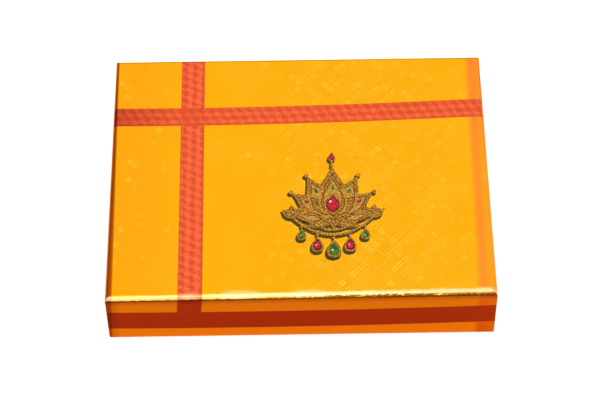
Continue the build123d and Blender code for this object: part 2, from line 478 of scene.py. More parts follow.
    def relief(self, pressed: Socket) -> Socket:
        """Heights of the pressed pattern, the paper's grain and the front fold's crumples.

        Args:
            pressed: The pattern's wave.

        Returns:
            The height for the bump.
        """
        g = self.g
        fine = g.add("TexNoise", {"Vector": self.sheet, "Scale": 0.9, "Detail": 4.0})
        height = g.add("Math", (pressed, self.pattern_height, fine), "MULTIPLY_ADD")
        crumple = g.add("Mapping", {"Vector": self.sheet, "Scale": (0.5, 0.9, 1.0)})
        crumple = g.add("TexNoise", {"Vector": crumple, "Scale": 1.0, "Detail": 2.0})
        creased = g.strip(self.over, -self.fold * 0.1, self.fold * 0.6, 1.6)
        for share in (self.front, g.add("MapRange", (self.u, *self.crumple_grows))):
            creased = g.add("Math", (creased, share), "MULTIPLY")
        return g.add("Math", (crumple, creased, height), "MULTIPLY_ADD")

    def ground(self) -> Socket:
        """The gold under the print: cloudy on the panel and, as painted shade, darker towards the left;
        on the walls a darker, deeper orange that is painted shade, lighter towards the foot.

        Returns:
            The ground colour.
        """
        g = self.g
        cloud = g.add("TexNoise", {"Vector": self.sheet, "Scale": 0.03, "Detail": 3.0})
        light = g.add("MapRange", (cloud, *self.cloud_shows), **EASED)
        colour = g.add("Mix", {0: light, 6: self.panel, 7: self.panel_light}, **COLOURS)
        # Painted shade: the panel darkens towards the left.
        left = g.add("MapRange", (self.u, *self.panel_darkens), **EASED)
        colour = g.add("Mix", {0: left, 6: colour, 7: self.panel_shade}, **COLOURS)
        # Painted shade: the walls darker than the panel, less so towards the foot.
        wall = g.add("MapRange", (self.over, self.fold, self.wall_foot))
        wall = g.add("Mix", {0: wall, 6: self.wall_high, 7: self.wall_low}, **COLOURS)
        return g.add("Mix", {0: self.on_wall, 6: colour, 7: wall}, **COLOURS)

    def stripes(self, colour: Socket) -> Socket:
        """A soft orange stripe by the right edge, its ink also on the fold beside it, and a thin red
        line along that fold: a painted reflection of its rounding.

        Args:
            colour: The ground.

        Returns:
            The ground with the stripe.
        """
        g, lay = self.g, self.lay
        # On the walls the stripe takes its darker copy, painted shade.
        ink = g.add("Mix", {0: self.on_wall, 6: self.stripe, 7: self.wall_stripe}, **COLOURS)
        leaning = g.add("Math", (self.v, -lay.stripe_skew, self.u), "MULTIPLY_ADD")
        beside = g.add("MapRange", (leaning, lay.stripe_x - lay.stripe_before, lay.stripe_x), **EASED)
        past_fold = g.add("Math", (self.u, lay.edge_x + 3), "LESS_THAN")
        far = g.add("MapRange", (self.v, *self.stripe_reddens), **EASED)
        share = g.add("Math", (far, 0.3, 0.42), "MULTIPLY_ADD")
        faced = g.add("Math", (self.front, self.on_wall), "MULTIPLY")
        share = g.add("Math", (faced, 0.4, share), "MULTIPLY_ADD")
        for part in (past_fold, share):
            beside = g.add("Math", (beside, part), "MULTIPLY")
        stripe = g.strip(leaning, lay.stripe_x, lay.stripe_half, 5.0)
        stripe = g.add("Math", (stripe, self.stripe_share), "MULTIPLY")
        # Painted reflection: a thin red line along the right fold, stronger towards the back.
        edge = g.strip(self.u, lay.edge_x + 1.7, 1.2, 0.8)
        far = g.add("Math", (far, 0.65, 0.35), "MULTIPLY_ADD")
        edge = g.add("Math", (edge, far), "MULTIPLY")
        for share, laid in ((beside, ink), (stripe, ink), (edge, self.edge)):
            colour = g.add("Mix", {0: share, 6: colour, 7: laid}, **COLOURS)
        return colour

    def paint_left_fold_shade(self, colour: Socket) -> Socket:
        """Paints a brown shade on the left fold, wider towards the front and running down the front wall
        by the left corner, over all the print.

        Args:
            colour: The printed sheet.

        Returns:
            The sheet with its margin.
        """
        g, lay, half = self.g, self.lay, self.lay.left_shade_width / 2
        lengthways = g.add("Math", (self.v, lay.left_shade_end), "MAXIMUM")
        skewed = g.add("Math", (lengthways, lay.left_shade_skew, self.u), "MULTIPLY_ADD")
        slanted = g.add("Math", (self.down, lay.left_shade_slant, skewed), "MULTIPLY_ADD")
        left_shade = g.strip(slanted, lay.left_shade_x - half, half, 1.5)
        faded = g.strip(slanted, lay.left_shade_x - half, half + lay.left_shade_past, 2 * lay.left_shade_past)
        for share in (self.front, self.on_wall, self.left_shade_fade):
            faded = g.add("Math", (faded, share), "MULTIPLY")
        left_shade = g.add("Math", (left_shade, faded), "MAXIMUM")
        # Painted shade: the left fold and the front-left corner darkened.
        return g.add("Mix", {0: left_shade, 6: colour, 7: self.left_fold_shade}, **COLOURS, **DARKENED)

    def paint_fold_light_and_shade(self, colour: Socket) -> Socket:
        """Paints a highlight along the front fold and lobes of highlight before it, with painted shade
        in jagged pockets and along a jagged line at the fold's foot.

        Args:
            colour: The printed sheet.

        Returns:
            The sheet's final colour.
        """
        g, lay, fold = self.g, self.lay, self.fold
        drawn = g.add("Mapping", {"Vector": self.sheet, "Scale": (0.35, 0.2, 1.0)})
        jag = g.add("TexNoise", {"Vector": drawn, "Scale": 1.0, "Detail": 4.0})
        jag = g.add("Math", (jag, *self.jag), "MULTIPLY_ADD")
        jagged = g.add("Math", (self.turned, jag), "ADD")
        middle = g.add("MapRange", (self.u, FOLD_ENDS[0], 0.0, *self.jag_sinks))
        place = g.add("Math", (jagged, middle), "ADD")
        # Painted highlight along the front fold, thinner over the ribbon.
        painted_fold_highlight = g.strip(place, 0.0, fold * 0.45, 1.2)
        share = g.add("MapRange", (self.u, *self.fold_highlight_grows))
        inked = g.strip(self.ribbon_u, lay.ribbon_x, lay.ribbon_half, lay.print_soft)
        inked = g.add("Math", (inked, *self.ribbon_keeps), "MULTIPLY_ADD")
        for part in (self.front, share, inked):
            painted_fold_highlight = g.add("Math", (painted_fold_highlight, part), "MULTIPLY")
        # Painted highlight in lobes where the sheet droops before the front fold.
        slack = g.add("Attribute", out="Fac", attribute_name=SLACK)
        slack = g.add("MapRange", (slack, *self.lobe_highlight_shows), **EASED)
        # Painted shade in jagged pockets on the lower front fold, fuller towards the right.
        right = g.add("MapRange", (self.u, *self.pocket_starts), **EASED)
        pockets = g.add("Mapping", {"Vector": self.sheet, "Scale": (0.24, 0.6, 1.0)})
        pockets = g.add("TexNoise", {"Vector": pockets, "Scale": 1.0, "Detail": 3.0})
        fuller = g.add("MapRange", (self.u, *self.pocket_grows))
        pockets = g.add("Math", (pockets, fuller), "ADD")
        pocket_shading = g.add("MapRange", (pockets, *self.pocket_shows), **EASED)
        low = g.strip(self.turned, fold * 0.25, fold * 0.4, 0.9)
        for part in (low, right, self.front, self.pocket_share):
            pocket_shading = g.add("Math", (pocket_shading, part), "MULTIPLY")
        for share, ink in ((slack, self.lobe_highlight), (painted_fold_highlight, self.painted_fold_highlight), (pocket_shading, self.pocket_shade)):
            colour = g.add("Mix", {0: share, 6: colour, 7: ink}, **COLOURS)
        # Painted shade along the top of the front wall under the fold, and a darker painted line at the
        # fold's foot, heavier towards the left.
        under = g.add("MapRange", (jagged, fold * 2.0, fold * 0.45, *self.shade_under))
        crease_shade = g.strip(jagged, fold * 0.56, 0.6, 0.8)
        heavy = g.add("MapRange", (self.u, *FOLD_ENDS, *self.crease_fades))
        crease_shade = g.add("Math", (crease_shade, heavy), "MULTIPLY")
        crease_shade = g.add("Math", (crease_shade, under), "MAXIMUM")
        below = g.add("Math", (jagged, fold * 0.3), "GREATER_THAN")
        for part in (below, self.front):
            crease_shade = g.add("Math", (crease_shade, part), "MULTIPLY")
        return g.add("Mix", {0: crease_shade, 6: colour, 7: self.crease_shade}, **COLOURS, **DARKENED)

    def ribbons(self, colour: Socket) -> Socket:
        """Prints the two ribbons and the band round the walls over the ground, with painted shade:
        darker towards the left, and a darker copy of the ink on the walls.

        Args:
            colour: The ground.

        Returns:
            The printed colour.
        """
        g, lay = self.g, self.lay
        band_middle = self.wall_foot - (lay.band_low + lay.band_high) / 2
        band = g.strip(self.skewed_over, band_middle, (lay.band_high - lay.band_low) / 2, lay.print_soft)
        above = g.add("Math", (self.skewed_over, band_middle), "LESS_THAN")
        first = g.strip(self.ribbon_u, lay.ribbon_x, lay.ribbon_half, lay.print_soft)
        second = g.strip(self.ribbon_v, lay.ribbon_y, lay.ribbon_half - 0.2, lay.print_soft)
        either = g.add("Math", (first, second), "MAXIMUM")
        either = g.add("Math", (either, above), "MULTIPLY")
        red = g.add("Math", (either, band), "MAXIMUM")
        lengthways = self.blobs(self.ribbon_u, self.ribbon_v, lay.ribbon_x, lay.long_phase)
        lengthways = g.add("Math", (lengthways, self.blob_thins), "POWER")
        crossways = self.blobs(self.ribbon_v, self.ribbon_u, lay.ribbon_y, lay.cross_phase)
        blobs = g.add("Mix", {0: second, 2: lengthways, 3: crossways})
        both = g.add("Math", (first, second), "MULTIPLY")
        both = g.add("Math", (both, 0.25), "MULTIPLY")
        blobs = g.add("Math", (blobs, both), "ADD", use_clamp=True)
        ink = g.add("Mix", {0: blobs, 6: self.ribbon_light, 7: self.ribbon_dark}, **COLOURS)
        # Painted shade: the ribbons darken towards the left.
        left = g.add("MapRange", (self.u, *self.ribbon_darkens))
        ink = g.add("Mix", {0: left, 6: ink, 7: self.ribbon_left_shade}, **COLOURS, **DARKENED)
        # On the walls the ribbon ink turns to its darker copy, painted shade.
        ink = g.add("Mix", {0: self.on_wall, 6: ink, 7: self.wall_ribbon}, **COLOURS)
        return g.add("Mix", {0: red, 6: colour, 7: ink}, **COLOURS)

    def blobs(
        self, across: Socket, along: Socket, centre: float, phase: float
    ) -> Socket:
        """Rows of darker leaning blobs in a lighter net between thin dark selvedges.

        Args:
            across: Coordinate across the ribbon.
            along: Coordinate along it.
            centre: The ribbon's middle on the first.
            phase: How far the middle row lies from that.

        Returns:
            1 in a blob, 0 on the net.
        """
        g, lay = self.g, self.lay
        turns = 2 * math.pi / lay.blob_across
        row = g.add("Math", (across, turns, -turns * (centre + phase)), "MULTIPLY_ADD")
        column = g.add("Math", (along, 2 * math.pi / lay.blob_along), "MULTIPLY")
        point = g.add("CombineXYZ", (across, along))
        wobble, grain = (
            g.add("TexNoise", {"Vector": point, "Scale": scale, "Detail": 2.0}) for scale in (0.3, 0.55)
        )
        column = g.add("Math", (wobble, self.blob_wobble[0], column), "MULTIPLY_ADD")
        row = g.add("Math", (wobble, self.blob_wobble[1], row), "MULTIPLY_ADD")
        row = g.add("Math", (row, self.blob_wobble[1] / 2), "SUBTRACT")
        lean = g.add("Math", (row, self.blob_lean, column), "MULTIPLY_ADD")
        waves = [g.add("Math", (angle,), "COSINE") for angle in (row, lean)]
        total = g.add("Math", tuple(waves), "ADD")
        total = g.add("Math", (grain, 4.0, total), "MULTIPLY_ADD")
        blobs = g.add("MapRange", (total, *self.blob_shows))
        inner = g.strip(across, centre, lay.ribbon_half - self.selvedge, 0.9)
        selvedge = g.add("Math", (1.0, inner), "SUBTRACT")
        selvedge = g.add("Math", (selvedge, grain), "MULTIPLY")
        return g.add("Math", (selvedge, 1.5, blobs), "MULTIPLY_ADD", use_clamp=True)


@dataclass(frozen=True)
class PrintedInk:
    """One opaque ink of the ornament: flat colour, broken up as engraved work is."""

    name: str
    light: str
    dark: str
    metallic: float = 0.0
    grain: float = 1.1

    def material(self) -> Material:
        """Builds the ink on object coordinates.

        Returns:
            The material.
        """
        g = Graph(self.name)
        cells = {"Vector": g.object_mm(), "Scale": 1 / self.grain}
        engraved = g.add("TexVoronoi", cells, out="Distance")
        share = g.add("MapRange", (engraved, 0.25, 0.65))
        colour = g.add("Mix", {0: share, 6: self.light, 7: self.dark}, **COLOURS)
        looks = {"Metallic": self.metallic, "Roughness": 0.35, "Specular IOR Level": 0.12}
        return g.coat(colour, engraved, 0.2, 0.02, looks)


class Ink(Enum):
    """The ornament's inks."""

    SHADOW = PrintedInk("umber shadow ink", "#54430F", "#40330C")
    LINE = PrintedInk("bistre line ink", "#4C340A", "#342406")
    GOLD = PrintedInk("antique gold ink", "#D69632", "#845618", 0.3)
    PALE = PrintedInk("pale gold ink", "#E6B04A", "#A06C24", 0.3)
    RUBY = PrintedInk("ruby ink", "#DC2840", "#B01C30", 0.0, 2.4)
    GARNET = PrintedInk("garnet ink", "#861426", "#5E0C1A", 0.0, 2.4)
    LEAF = PrintedInk("leaf green ink", "#4E8C2A", "#2C5A1E", 0.0, 2.0)
    GLINT = PrintedInk("highlight ink", "#FFE8D0", "#FFD8B8", 0.0, 2.0)


@dataclass(frozen=True)
class PlainFoilPaper:
    """The same gold film with no print, round the tray: a soft gold mirror, with glints painted on its
    pressed pattern.
    """

    name: str = "plain metallised foil paper"
    gold: str = "#F2B030"
    # Colour of the painted glints on the pressed pattern.
    glint: str = "#FFE27A"
    quiet: float = 0.5
    lit: float = 0.6
    press: float = 0.06

    def material(self, foil: FoilSurface) -> Material:
        """Builds the finish on object coordinates, run round the walls.

        Args:
            foil: How the film takes the light.

        Returns:
            The material.
        """
        g = Graph(self.name)
        place = g.object_mm()
        x, y, z = (g.add("SeparateXYZ", (place,), out=axis) for axis in "XYZ")
        round_walls = g.add("Math", (x, y), "ADD")
        sheet = g.add("CombineXYZ", (round_walls, z))
        pressed = foil.pressed_pattern(g, sheet, self.quiet)
        # Painted highlight: the pattern's strokes lightened towards the glint colour.
        lit = g.add("Math", (pressed, self.lit), "MULTIPLY", use_clamp=True)
        colour = g.add("Mix", {0: lit, 6: self.gold, 7: self.glint}, **COLOURS)
        fine = g.add("TexNoise", {"Vector": sheet, "Scale": 0.5, "Detail": 4.0})
        return g.coat(colour, fine, 0.4, self.press, foil.looks())


@dataclass(frozen=True)
class PaperStock:
    """Uncoated or lightly coated paper and board, felted from fibre: matt with faint clouds."""

    name: str
    body: str
    fleck: str
    roughness: float
    fibre: float
    fleck_share: float
    relief: float

    def material(self) -> Material:
        """Builds clouds, flecks and a fibrous bump on object coordinates.

        Returns:
            The material.
        """
        g = Graph(self.name)
        sheet = g.object_mm()
        cloud = g.add("TexNoise", {"Vector": sheet, "Scale": 0.08, "Detail": 2.0})
        drawn = g.add("Mapping", {"Vector": sheet, "Scale": (1.0, 0.35, 1.0)})
        fibres = g.add("TexNoise", {"Vector": drawn, "Scale": 1 / self.fibre, "Detail": 5.0})
        flecks = g.add("MapRange", (fibres, 0.55, 0.72, 0.0, self.fleck_share))
        colour = self.body
        for share in (g.add("Math", (cloud, 0.12), "MULTIPLY"), flecks):
            colour = g.add("Mix", {0: share, 6: colour, 7: self.fleck}, **COLOURS)
        return g.coat(colour, fibres, 0.5, self.relief, {"Roughness": self.roughness})


class Stock(Enum):
    """The papers and boards that aren't foil, by what they do in the box."""

    GREYBOARD = PaperStock("greyboard", "#9A9288", "#6E675E", 0.9, 0.8, 0.5, 0.12)
    KRAFT_TAPE = PaperStock("gummed kraft tape", "#A9855C", "#7F5F3C", 0.75, 0.6, 0.4, 0.06)
    LINING = PaperStock("white lining paper", "#F0EDE4", "#D9D3C6", 0.6, 0.5, 0.25, 0.04)
    BOTTOM_CARD = PaperStock("grey-back duplex card", "#CFCAC0", "#A29C90", 0.85, 0.7, 0.5, 0.08)


@dataclass(frozen=True)
class GreaseproofPaper:
    """Butter paper, beaten and calendered: half clear, faintly waxy, with soft wrinkles."""

    name: str = "greaseproof paper"
    body: str = "#F4EEDD"
    shade: str = "#E4DAC0"

    def material(self) -> Material:
        """Builds the finish on object coordinates.

        Returns:
            The material.
        """
        g = Graph(self.name)
        sheet = g.object_mm()
        cloud = g.add("TexNoise", {"Vector": sheet, "Scale": 0.05, "Detail": 4.0})
        colour = g.add("Mix", {0: cloud, 6: self.body, 7: self.shade}, **COLOURS)
        cells = {"Vector": sheet, "Scale": 0.045}
        crumple = g.add("TexVoronoi", cells, out="Distance", feature="DISTANCE_TO_EDGE")
        waxy = {"Subsurface Weight": 0.15, "Subsurface Radius": (0.002, 0.0016, 0.001)}
        return g.coat(colour, crumple, 0.35, 0.5, {"Roughness": 0.42, **waxy})


def deselect_all() -> None:
    bpy.ops.object.select_all(action="DESELECT")


def activate(piece: Piece) -> None:
    """Makes one piece the active one and the only one selected."""
    deselect_all()
    piece.select_set(True)
    bpy.context.view_layer.objects.active = piece


def begin_edit(piece: Piece) -> None:
    """Opens one piece for editing."""
    activate(piece)
    bpy.ops.object.mode_set(mode="EDIT")


def end_edit() -> None:
    """Leaves edit mode."""
    bpy.ops.object.mode_set(mode="OBJECT")


def choose(piece: Piece, kind: str, test: Callable[[Any], bool]) -> None:
    """Selects the faces or edges of the piece being edited that pass a test.

    Args:
        piece: The piece in edit mode.
        kind: FACE or EDGE.
        test: Takes the bmesh face or edge.
    """
    bpy.ops.mesh.select_mode(type=kind)
    bpy.ops.mesh.select_all(action="DESELECT")
    shape = bmesh.from_edit_mesh(piece.data)
    for element in shape.faces if kind == "FACE" else shape.edges:
        if test(element):
            element.select_set(True)
    bmesh.update_edit_mesh(piece.data)


def cut_across(axis: int, places: list[float]) -> None:
    """Cuts the piece being edited by planes square to one axis.

    Args:
        axis: 0 for X, 1 for Y, 2 for Z.
        places: Where each plane stands.
    """
    square = Vector((0.0, 0.0, 0.0))
    square[axis] = 1.0
    for place in places:
        bpy.ops.mesh.select_all(action="SELECT")
        bpy.ops.mesh.bisect(plane_co=square * place, plane_no=square, threshold=1e-7)


def evenly(half: float, step: float) -> list[float]:
    """Places from -half to half, the ends left out, about one step apart."""
    count = max(2, round(2 * half / step))
    return [-half + 2 * half * i / count for i in range(1, count)]


def thicken(piece: Piece, paper: float, even: bool = False) -> None:
    """Gives a sheet its thickness, inwards, and leaves it active.

    Args:
        piece: The sheet, one layer thick.
        paper: Its thickness.
        even: Whether it keeps that thickness round folds.
    """
    activate(piece)
    thick = piece.modifiers.new("paper", "SOLIDIFY")
    thick.thickness = paper
    thick.offset = -1
    thick.use_even_offset = even
    bpy.ops.object.modifier_apply(modifier=thick.name)


def open_box(name: str, low: Span, high: Span, opening: int, radius: float, flats: int) -> Piece:
    """Folds a sheet to a box that is open at one end and has rounded edges at the other.

    The corners are plain numbers, because a Vector rounds them, and that can move the
    row of points at a fold's end to the other side of it.

    Args:
        name: The piece's name.
        low: Lowest corner.
        high: Highest corner.
        opening: 1 where the top is open, -1 where the bottom is.
        radius: Radius of the folds.
        flats: How many flats make up a fold.

    Returns:
        The piece, one layer thick and in edit mode.
    """
    deselect_all()
    middle = [(a + b) / 2 for a, b in zip(low, high)]
    size = [b - a for a, b in zip(low, high)]
    bpy.ops.mesh.primitive_cube_add(size=1, location=middle, scale=size)
    piece = bpy.context.object
    piece.name = name
    bpy.ops.object.transform_apply(location=True, rotation=True, scale=True)
    begin_edit(piece)
    choose(piece, "FACE", lambda face: face.normal.z * opening > 0.9)
    bpy.ops.mesh.delete(type="FACE")
    closed = low[2] if opening > 0 else high[2]
    choose(piece, "EDGE", lambda edge: all(abs(v.co.z - closed) < MM for v in edge.verts))
    bpy.ops.mesh.bevel(offset=radius, offset_type="OFFSET", segments=flats, profile=0.5, affect="EDGES")
    return piece


def report(piece: Piece) -> None:
    """Logs a finished piece and its count of faces."""
    LOG.info("%s: %d faces", piece.name, len(piece.data.polygons))


def dress(piece: Piece, material: Material) -> None:
    """Gives a piece one material in place of what it has."""
    piece.data.materials.clear()
    piece.data.materials.append(material)


def dress_stocks(**stocks: Stock) -> None:
    """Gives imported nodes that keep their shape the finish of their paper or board."""
    for node, stock in stocks.items():
        dress(frame["nodes"][node], stock.value.material())


@dataclass
class LidWrap:
    """The printed foil sheet over the lid, folded down, turned in at the rim and creased."""

    fold_radius: float = 3.35 * MM
    fold_steps: int = 10
    paper: float = 0.26 * MM
    rim_width: float = 2.7 * MM
    turn_in: float = 15 * MM
    panel_sink: float = 0.107 * MM
    wall_sink: float = 0.045 * MM
    corner_round: float = 0.5 * MM
    seam_setback: float = 1.2 * MM
    seam_step: float = 0.12 * MM
    column: float = 1.3 * MM
    row: float = 2.6 * MM
    course: float = 3.0 * MM
    droop_most: float = 0.26 * MM
    droop_reach: float = 6.8 * MM
    front_lobes: tuple[Span, ...] = (
        (-73, 11, 0.42), (-39, 16, 0.88), (5, 17, 0.75), (47, 9, 0.45), (92, 16, 0.7), (118, 11, 0.85)
    )
    fold_wave: float = 0.3 * MM
    crinkle: float = 0.42 * MM
    crinkle_least: float = 0.03 * MM
    wall_wave: float = 0.03 * MM

    def __post_init__(self) -> None:
        """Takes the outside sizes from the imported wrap."""
        low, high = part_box("lid_wrap")
        self.half_width = high.x - self.wall_sink
        self.half_depth = high.y - self.wall_sink
        self.rim = low.z
        self.top = high.z - self.panel_sink

    def build(self) -> Piece:
        """Makes the sheet's mesh, with its net coordinates, folds and waves.

        Returns:
            The finished piece, with no material.
        """
        piece = self.folded_shell()
        self.lay_net(piece)
        self.settle(piece)
        thicken(piece, self.paper, even=True)
        bpy.ops.object.shade_smooth_by_angle(angle=math.radians(40))
        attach(piece, "lid")
        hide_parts("lid_wrap")
        return piece

    def folded_shell(self) -> Piece:
        """Folds an open box with rounded top edges and a rim turned up inside.

        Returns:
            The shell, one layer thick.
        """
        low = (-self.half_width, -self.half_depth, self.rim)
        high = (self.half_width, self.half_depth, self.top)
        piece = open_box("lid_foil_wrap", low, high, -1, self.fold_radius, self.fold_steps)
        corner = [self.corner_round, self.corner_round / 2]
        seam = [self.seam_setback, self.seam_setback - self.seam_step]
        columns = evenly(self.half_width, self.column)
        rows = evenly(self.half_depth, self.row)
        for side in (-1, 1):
            columns += [side * (self.half_width - inside) for inside in corner]
            rows += [side * (self.half_depth - inside) for inside in corner + seam]
        wall = self.top - self.fold_radius - self.rim
        steps = round(wall / self.course)
        courses = [self.rim + wall * i / steps for i in range(1, steps)]
        cut_across(0, columns)
        cut_across(1, rows)
        cut_across(2, courses)
        choose(piece, "EDGE", lambda edge: edge.is_boundary)
        bpy.ops.mesh.extrude_region_move(TRANSFORM_OT_translate={"value": (0, 0, 0)})
        bpy.ops.transform.resize(
            value=(1 - self.rim_width / self.half_width, 1 - self.rim_width / self.half_depth, 1),
            center_override=(0, 0, self.rim),
        )
        bpy.ops.mesh.extrude_region_move(TRANSFORM_OT_translate={"value": (0, 0, self.turn_in)})
        end_edit()
        return piece

    def lay_net(self, piece: Piece) -> None:
        """Gives every face its place on the flat sheet, in millimetres, as a UV map.

        Args:
            piece: The shell, before it is waved.
        """
        mesh = piece.data
        for other in list(mesh.uv_layers):
            mesh.uv_layers.remove(other)
        layer = mesh.uv_layers.new(name=NET)
        for face in mesh.polygons:
            side_x = abs(face.center.x) - self.half_width > abs(face.center.y) - self.half_depth
            for corner in face.loop_indices:
                place = mesh.vertices[mesh.loops[corner].vertex_index].co
                layer.data[corner].uv = self.net_place(place, side_x)

    def net_place(self, place: Vector, side_x: bool) -> tuple[float, float]:
        """Unrolls one point of the folded sheet.

        Args:
            place: The point.
            side_x: Whether its face belongs to a wall that faces along X.

        Returns:
            Millimetres on the flat sheet, from the panel's middle.
        """
        out, along = (place.x, place.y) if side_x else (place.y, place.x)
        half = self.half_width if side_x else self.half_depth
        r = self.fold_radius
        reach = abs(out)
        drop = self.top - r - place.z
        past = reach - (half - r)
        if drop <= 0:
            angle = math.atan2(max(past, 0.0), max(-drop, 1e-9))
            reach = min(reach, half - r) + r * angle
        else:
            reach = half - r + r * math.pi / 2 + drop
            inward = half - abs(out)
            if inward > self.rim_width / 2:
                wall = half - r + r * math.pi / 2 + (self.top - r - self.rim)
                reach = wall + self.rim_width + (place.z - self.rim)
        reach = math.copysign(reach, out)
        return (reach / MM, along / MM) if side_x else (along / MM, reach / MM)

    def inset(self, place: Vector) -> tuple[float, float]:
        """How far a point lies inside the walls, along X and along Y."""
        return self.half_width - abs(place.x), self.half_depth - abs(place.y)

    def settle(self, piece: Piece) -> None:
        """Rounds the upright corners and gives the paper its waves and crinkles.

        Args:
            piece: The shell, with its net coordinates laid.
        """
        # The slack share also sets where the lobes of painted highlight lie.
        slack = piece.data.attributes.new(SLACK, "FLOAT", "POINT")
        for vertex in piece.data.vertices:
            place = vertex.co.copy()
            slack.data[vertex.index].value = self.slack_at(place)
            below_panel = place.z < self.rim + self.turn_in + MM
            if not (below_panel and min(self.inset(place)) > self.rim_width / 2):
                place = self.waved(place)
            vertex.co = self.cornered(place)
        piece.data.update()

    def cornered(self, place: Vector) -> Vector:
        """Rounds an upright corner, less and less towards the fold above it."""
        below = (self.top - self.fold_radius - place.z) / (3 * MM)
        rounding = self.corner_round * min(max(below, 0.0), 1.0)
        from_x, from_y = self.inset(place)
        if rounding <= 0 or max(from_x, from_y) >= rounding:
            return place
        turn = math.radians(45) * (1 - max(from_x, from_y) / rounding)
        near, far = rounding * (1 - math.sin(turn)), rounding * (1 - math.cos(turn))
        moved = place.copy()
        in_x, in_y = (far, near) if from_x < from_y else (near, far)
        moved.x = math.copysign(self.half_width - in_x, place.x)
        moved.y = math.copysign(self.half_depth - in_y, place.y)
        return moved

    def waved(self, place: Vector) -> Vector:
        """Waves of loosely glued foil, strongest along the front fold's right half."""
        r = self.fold_radius
        halves = (self.half_width, self.half_depth)
        rise = place.z - (self.top - r)
        past = [abs(place[axis]) - (halves[axis] - r) for axis in (0, 1)]
        moved = place.copy()
        if rise >= r - 1e-7 and max(past) <= 0:
            moved.z -= self.droop(place) * max(0.0, 1 + past[1] / self.droop_reach) ** 2
        elif rise > 0 and max(past) > 0:
            across = int(past[1] >= past[0])
            along = place[1 - across]
            angle = math.atan2(past[across], rise)
            push = math.sin(2 * angle) * smooth(halves[1 - across] - abs(along), 2 * r, 5 * r)
            push *= self.ripple(along, angle, across == 1 and place.y < 0)
            moved.z += math.cos(angle) * push
            moved[across] += math.copysign(math.sin(angle) * push, place[across])
            if across:
                moved.z -= self.droop(place) * math.cos(angle) ** 2
        elif rise <= 0:
            dent = self.wall_wave * (1 + noise.noise(place / (22 * MM)))
            from_x, from_y = self.inset(place)
            if from_y < self.wall_sink:
                moved.y -= math.copysign(dent, place.y)
            if from_x < self.wall_sink:
                lapped = from_y < self.seam_setback - self.seam_step / 2
                moved.x -= math.copysign(dent + lapped * self.seam_step / 2, place.x)
        return moved

    def slack_at(self, place: Vector) -> float:
        """How loose the sheet lies on the panel before the front fold, 0 to 1.

        Args:
            place: A point of the neatly folded sheet.

        Returns:
            Its share of the deepest lobe's fall.
        """
        before = self.half_depth - self.fold_radius + place.y
        if place.z < self.top - self.fold_radius / 2 or place.y > 0:
            return 0.0
        return self.lobed(place) * max(0.0, 1 - max(before, 0.0) / self.droop_reach) ** 2

    def lobed(self, place: Vector) -> float:
        """How deep the lobes by a long fold are here, as a share of the deepest."""
        if place.y > 0:
            share = 0.3 + 1.4 * noise.noise(Vector((place.x / (24 * MM), 2.0, 0.0)))
            return min(max(share, 0.0), 0.7)
        share = 0.15
        for middle, half, most in self.front_lobes:
            off = min(abs(place.x / MM - middle) / half, 1.0)
            share = max(share, most * math.cos(off * math.pi / 2) ** 0.7)
        return share

    def droop(self, place: Vector) -> float:
        """How far the panel falls by the start of its long folds."""
        room = self.half_width - self.fold_radius - abs(place.x)
        return self.droop_most * self.lobed(place) * smooth(room, 0.0, 8 * MM)

    def ripple(self, along: float, angle: float, front: bool) -> float:
        """How far a fold stands out from its round, in long waves and sharp crinkles.

        Args:
            along: Place along the fold.
            angle: Place round the fold, 0 at the panel.
            front: Whether it is the front fold.

        Returns:
            The height over the round fold.
        """
        right = smooth(along, -20 * MM, 60 * MM) if front else 0.2
        wave = noise.noise(Vector((along / (26 * MM), 3.0 if front else 9.0, 0.0)))
        wave += 0.4 * noise.noise(Vector((along / (9 * MM), 3.0 if front else 9.0, 4.0)))
        crinkle = noise.noise(Vector((along / (2.6 * MM), angle * 2.4, 5.0)))
        lower = smooth(angle, math.radians(30), math.radians(60))
        return self.fold_wave * wave + (self.crinkle_least + self.crinkle * right * lower) * crinkle


def petal_width(t: float) -> float:
    """Half width of a lotus petal, root at 0 and tip at 1, as a share of its most."""
    return math.sin(math.pi * t**0.85) ** 0.9 * (1 - 0.35 * smooth(t, 0.62, 1.0))


def drop_width(t: float) -> float:
    """Half width of a hanging drop, round at 0 and pointed at 1, as a share of its most."""
    return 2.7 * math.sqrt(t) * (1 - t) ** 1.1


def round_width(t: float) -> float:
    """Half width of a bead, as a share of its most."""
    return 2 * math.sqrt(t * (1 - t))


